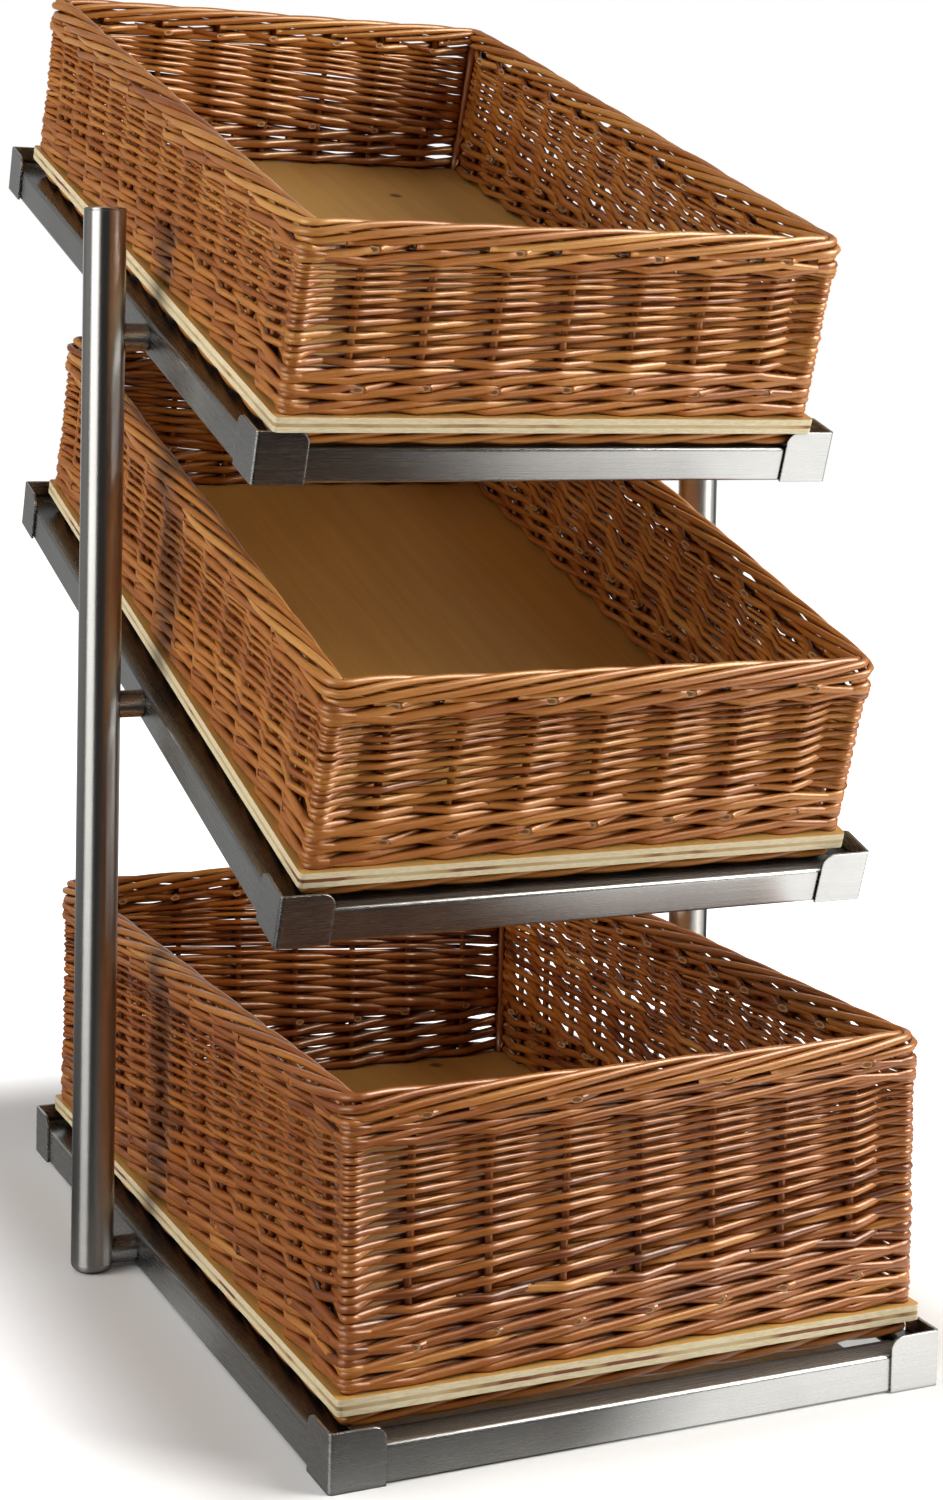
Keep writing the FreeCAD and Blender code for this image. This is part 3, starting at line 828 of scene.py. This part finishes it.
def floor_material():
    """Pale and matt round the object, where it holds the shadow, and white further off. In a gloss it
    glows as a painted reflection: dark, paler at the back, and bright in front on the right."""
    material, n = new_material("white_floor")
    sight = n.add("LightPath")
    place = n.add("NewGeometry").outputs["Position"]
    past = n.vector("SUBTRACT", n.vector("ABSOLUTE", place), FOOTPRINT)
    away = n.vector("LENGTH", n.vector("MAXIMUM", past, (0.0, 0.0, 0.0)))
    glow = n.add("Emission")
    whiteness = n.mapped(away, 0.0, WHITE_FROM)
    n.join(n.math("MULTIPLY", sight.outputs["Is Camera Ray"], whiteness), glow.inputs["Strength"])
    matt = n.add("BsdfDiffuse")
    matt.inputs["Color"].default_value = FLOOR_COLOUR
    both = n.add("AddShader")
    n.join(matt.outputs[0], both.inputs[0])
    n.join(glow.outputs[0], both.inputs[1])

    # painted reflection: the floor glows only for glossy rays, paler at the back and bright in front on the
    # right
    back = n.split(place)["Y"]
    behind = n.mapped(back, 0.1, 1.2, 0.02, 0.32)
    right = n.mapped(n.vector("DOT_PRODUCT", place, PAINTED_PATCH_WAY), -0.30, -0.20)
    painted_patch = n.math("MULTIPLY", right, n.mapped(back, -0.28, 0.0, PAINTED_PATCH_STRENGTH, 0.0))
    studio = n.add("Emission")
    n.join(n.math("ADD", behind, painted_patch), studio.inputs["Strength"])
    painted_glow_share = n.mapped(away, 0.0, NEAR_REACH, NEAR_SHARE, 1.0)
    gloss = n.math("MULTIPLY", sight.outputs["Is Glossy Ray"], painted_glow_share)
    mix = n.add("MixShader")
    n.join(gloss, mix.inputs[0])
    n.join(both.outputs[0], mix.inputs[1])
    n.join(studio.outputs[0], mix.inputs[2])
    out = n.add("OutputMaterial")
    n.join(mix.outputs[0], out.inputs["Surface"])
    return material


floor = floor_sheet()
floor.data.materials.append(floor_material())


BACKDROP_WAY = (0.41, 0.91, 0.0)        # to the rear and a little to the right


def studio_world():
    """White to the camera. Lights the object as a room that is dark in front and paler behind, above
    and on the left. A gloss also sees a white backdrop."""
    world = bpy.data.worlds.new("studio")
    world.use_nodes = True
    bpy.context.scene.world = world
    n = Nodes(world.node_tree)
    sight = n.add("LightPath")
    way = n.add("TexCoord").outputs["Generated"]
    behind = n.mapped(n.vector("DOT_PRODUCT", way, BACKDROP_WAY), 0.75, 0.92)
    backdrop = n.math("MULTIPLY", behind, sight.outputs["Is Glossy Ray"])
    seen = n.math("MAXIMUM", sight.outputs["Is Camera Ray"], backdrop)
    sides = n.split(way)
    room = n.mapped(sides["Y"], -0.8, 0.6, 0.03, 0.22)
    room = n.math("ADD", room, n.mapped(sides["Z"], 0.1, 1.0, 0.0, 0.06))
    room = n.math("ADD", room, n.mapped(sides["X"], -0.95, -0.6, 0.22, 0.0))
    strength = n.math("MAXIMUM", seen, room)
    back = n.add("Background")
    n.join(strength, back.inputs["Strength"])
    back.inputs["Color"].default_value = (1.0, 1.0, 1.0, 1.0)
    out = n.add("OutputWorld")
    n.join(back.outputs[0], out.inputs["Surface"])


WHITE, WARM, PALE_WARM = (1.0, 1.0, 1.0), (1.0, 0.97, 0.92), (1.0, 0.97, 0.93)
LIT_POINT = Vector((0.0, 0.0, 0.55))    # every lamp faces it
KEY_WAY, LOW_KEY_WAY = (0.70, -0.56, 0.56), (0.70, -0.56, 0.14)
KEY_DISTANCE, SIDE_DISTANCE, TOP_DISTANCE = 1.8, 2.2, 2.4


def area_light(name, direction, distance, size, power, colour=WHITE, diffuse=True, glossy=True):
    """A soft lamp that lies in a direction from the object and faces it. It can light the object
    without showing in a gloss, or only show there."""
    data = bpy.data.lights.new(name, "AREA")
    data.shape = "RECTANGLE"
    data.size, data.size_y = size
    data.energy = power
    data.color = colour
    lamp = bpy.data.objects.new(name, data)
    bpy.context.scene.collection.objects.link(lamp)
    way = Vector(direction).normalized()
    lamp.location = LIT_POINT + way * distance
    lamp.rotation_mode = "QUATERNION"
    lamp.rotation_quaternion = (-way).to_track_quat("-Z", "Y")
    lamp.visible_camera = False
    lamp.visible_diffuse = diffuse
    lamp.visible_glossy = glossy


studio_world()
area_light("key_shine", KEY_WAY, KEY_DISTANCE, (0.94, 1.3), 55.0, WARM, diffuse=False)
area_light("key_light", KEY_WAY, KEY_DISTANCE, (0.94, 1.3), 28.0, WARM, glossy=False)
area_light("low_key_light", LOW_KEY_WAY, KEY_DISTANCE, (0.94, 0.8), 23.0, WARM, glossy=False)
area_light("left_light", (-1.0, 0.0, 0.24), SIDE_DISTANCE, (1.6, 1.2), 33.0, PALE_WARM, glossy=False)
area_light("strip_light", (-0.93, -0.375, 0.10), SIDE_DISTANCE, (1.6, 1.8), 32.0, diffuse=False)
area_light("top_light", (-0.1, 0.1, 1.0), TOP_DISTANCE, (1.6, 1.6), 7.0)

CAMERA_PLACE = Vector((-0.60901, -1.43228, 0.55625))
CAMERA_YAW, CAMERA_PITCH, CAMERA_ROLL = -0.42404, -0.04432, 0.01918     # radians
PHOTO_HEIGHT, FOCAL_PIXELS, RISE_PIXELS = 1500, 2521.44, 300
SENSOR = 36.0                           # millimetres, along the picture's height


def photo_camera():
    """The photograph's view: turned to the right, nearly level, and shifted down."""
    cos_p, sin_p = math.cos(CAMERA_PITCH), math.sin(CAMERA_PITCH)
    ahead = Vector((-math.sin(CAMERA_YAW) * cos_p, math.cos(CAMERA_YAW) * cos_p, sin_p))
    right = Vector((math.cos(CAMERA_YAW), math.sin(CAMERA_YAW), 0))
    up = right.cross(ahead)
    cos_r, sin_r = math.cos(CAMERA_ROLL), math.sin(CAMERA_ROLL)
    across = cos_r * right + sin_r * up
    above = -sin_r * right + cos_r * up
    data = bpy.data.cameras.new("camera")
    data.sensor_width = SENSOR
    data.lens = FOCAL_PIXELS / PHOTO_HEIGHT * SENSOR
    data.shift_y = -RISE_PIXELS / PHOTO_HEIGHT
    data.clip_start, data.clip_end = 0.05, 60.0
    camera = bpy.data.objects.new("camera", data)
    bpy.context.scene.collection.objects.link(camera)
    turn = Matrix((across, above, -ahead)).transposed().to_4x4()
    camera.matrix_world = Matrix.Translation(CAMERA_PLACE) @ turn
    bpy.context.scene.camera = camera


photo_camera()
bpy.context.scene.view_settings.view_transform = "Standard"
